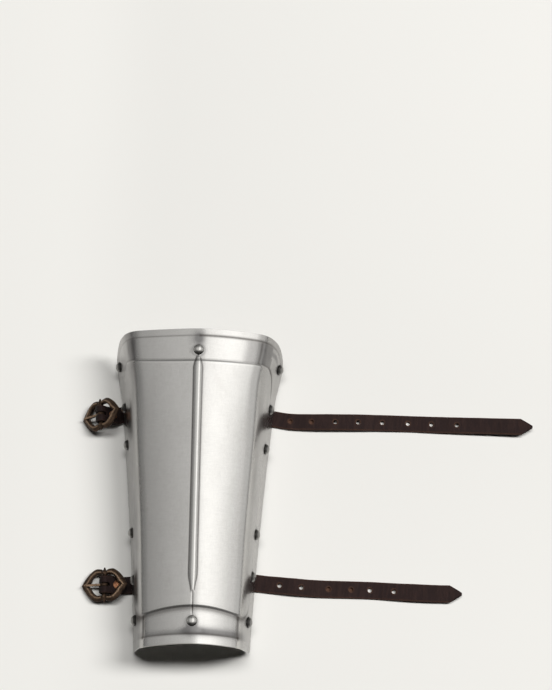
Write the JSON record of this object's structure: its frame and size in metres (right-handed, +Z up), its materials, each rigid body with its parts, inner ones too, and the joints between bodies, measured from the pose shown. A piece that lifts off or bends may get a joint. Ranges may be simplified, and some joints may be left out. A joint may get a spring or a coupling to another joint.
{
  "type": "vambrace",
  "caption": "Steel forearm plate with a ridged half-round shell, a raised panel and rib, riveted leather straps and bronze buckles, lying open side down.",
  "frame": {"origin": "centre of the underside of the whole part as it lies: the bottom of its bounding box", "axes": "+Y along the plate from the wrist rim to the elbow rim, +X towards the free straps, +Z up from the surface it lies on to the ridge"},
  "size_m": [0.3518, 0.2396, 0.0583],
  "materials": {
    "satin_steel": "satin, finely brushed",
    "brown_leather": "waxed, worn at the edges",
    "aged_bronze": "dark cast bronze, rubbed on its crests",
    "copper": "polished copper"
  },
  "bodies": {
    "plate": {"border_rivet_elbow_left": "satin_steel", "border_rivet_elbow_right": "satin_steel", "border_rivet_lower_left": "satin_steel", "border_rivet_lower_right": "satin_steel", "border_rivet_upper_left": "satin_steel", "border_rivet_upper_right": "satin_steel", "border_rivet_wrist_left": "satin_steel", "border_rivet_wrist_right": "satin_steel", "buckle_strap_elbow": "brown_leather", "buckle_strap_wrist": "brown_leather", "fold_rivet_elbow": "copper", "fold_rivet_wrist": "copper", "long_strap": "brown_leather", "ridge_rivet_elbow": "satin_steel", "ridge_rivet_wrist": "satin_steel", "short_strap": "brown_leather", "strap_rivet_elbow_left": "satin_steel", "strap_rivet_elbow_right": "satin_steel", "strap_rivet_wrist_left": "satin_steel", "strap_rivet_wrist_right": "satin_steel", "vambrace_plate": "satin_steel"},
    "frame_elbow": {"buckle_frame_elbow": "aged_bronze"},
    "prong_elbow": {"buckle_prong_elbow": "aged_bronze"},
    "frame_wrist": {"buckle_frame_wrist": "aged_bronze"},
    "prong_wrist": {"buckle_prong_wrist": "aged_bronze"}
  },
  "joints": [
    {"name": "elbow_buckle_tilt", "type": "hinge", "parent": "plate", "child": "frame_elbow", "pos_m": [-0.16099, 0.06463, 0.0117], "axis": [-0.0966, 0.9902, -0.101], "range_deg": [0, 12]},
    {"name": "elbow_prong_swing", "type": "hinge", "parent": "frame_elbow", "child": "prong_elbow", "pos_m": [-0.16099, 0.06463, 0.0117], "axis": [-0.0966, 0.9902, -0.101], "range_deg": [0, 120]},
    {"name": "wrist_buckle_tilt", "type": "hinge", "parent": "plate", "child": "frame_wrist", "pos_m": [-0.15219, -0.06777, 0.0065], "axis": [0.0262, -0.9997, 0], "range_deg": [0, 90]},
    {"name": "wrist_prong_swing", "type": "hinge", "parent": "frame_wrist", "child": "prong_wrist", "pos_m": [-0.15219, -0.06777, 0.0065], "axis": [-0.0262, 0.9997, 0], "range_deg": [0, 120]}
  ]
}
